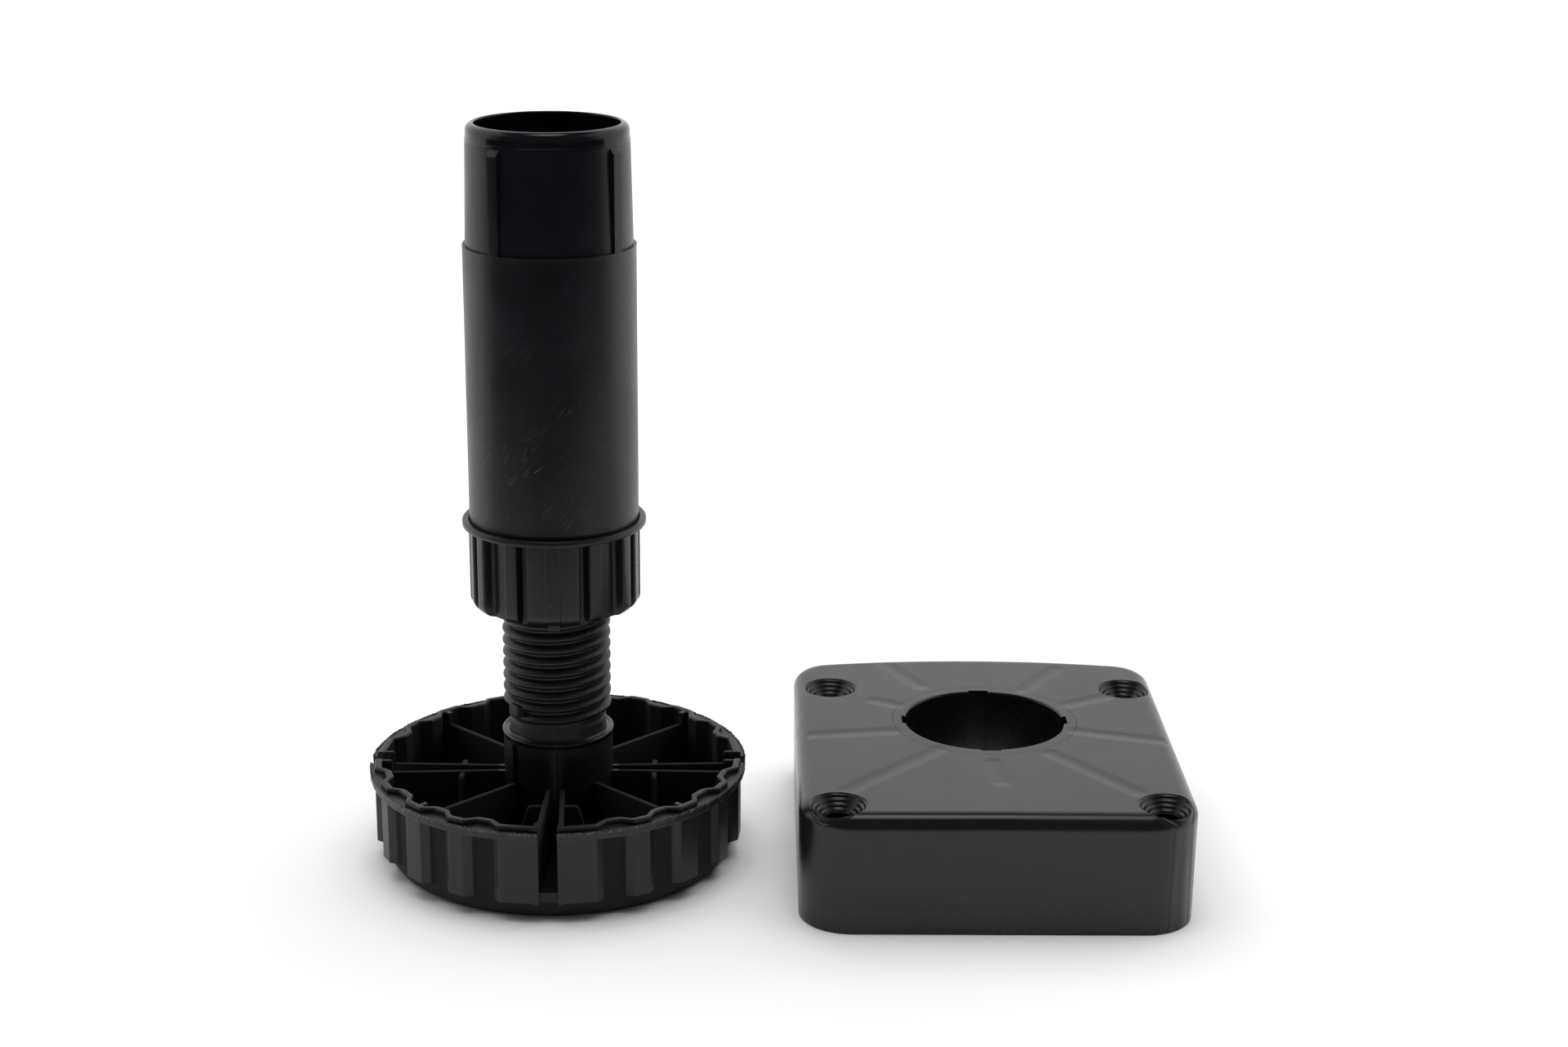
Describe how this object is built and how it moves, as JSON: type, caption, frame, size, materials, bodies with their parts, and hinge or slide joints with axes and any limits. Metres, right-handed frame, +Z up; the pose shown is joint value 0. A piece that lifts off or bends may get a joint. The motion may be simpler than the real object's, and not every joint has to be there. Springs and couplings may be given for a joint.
{
  "type": "adjustable cabinet leg",
  "caption": "Height-adjustable plinth leg: dished round foot with screw spindle, ribbed adjusting nut, plain tube with spigot, and a keyed screw-on mounting plate.",
  "frame": {"origin": "centre of the foot's underside, on the floor", "axes": "+Z up along the leg, -Y to the front, where the picture was taken from, +X to the right, towards the mounting plate lying beside the leg"},
  "size_m": [0.1663, 0.0904, 0.1517],
  "materials": {
    "black_tube": "satin",
    "black_moulding": "satin",
    "black_foot": "satin",
    "black_plate": "satin"
  },
  "bodies": {
    "foot": {"foot": "black_foot"},
    "leg_tube": {"outer_tube": "black_tube", "top_plug": "black_moulding"},
    "nut": {"adjusting_nut": "black_moulding"},
    "plate": {"mounting_plate": "black_plate"}
  },
  "joints": [
    {"name": "height_adjust", "type": "slide", "parent": "foot", "child": "leg_tube", "axis": [0, 0, 1], "range_m": [-0.0184, 0.0216]},
    {"name": "nut_turn", "type": "hinge", "parent": "leg_tube", "child": "nut", "pos_m": [0, 0, 0.06], "axis": [0, 0, 1], "range_deg": [-2650, 3111]},
    {"name": "plate_lift", "type": "slide", "parent": "foot", "child": "plate", "axis": [0, 0, 1], "range_m": [0, 0.06]}
  ],
  "couplings": [
    {"joint": "nut_turn", "follows": "height_adjust", "rad_per_m": 2513.3}
  ]
}
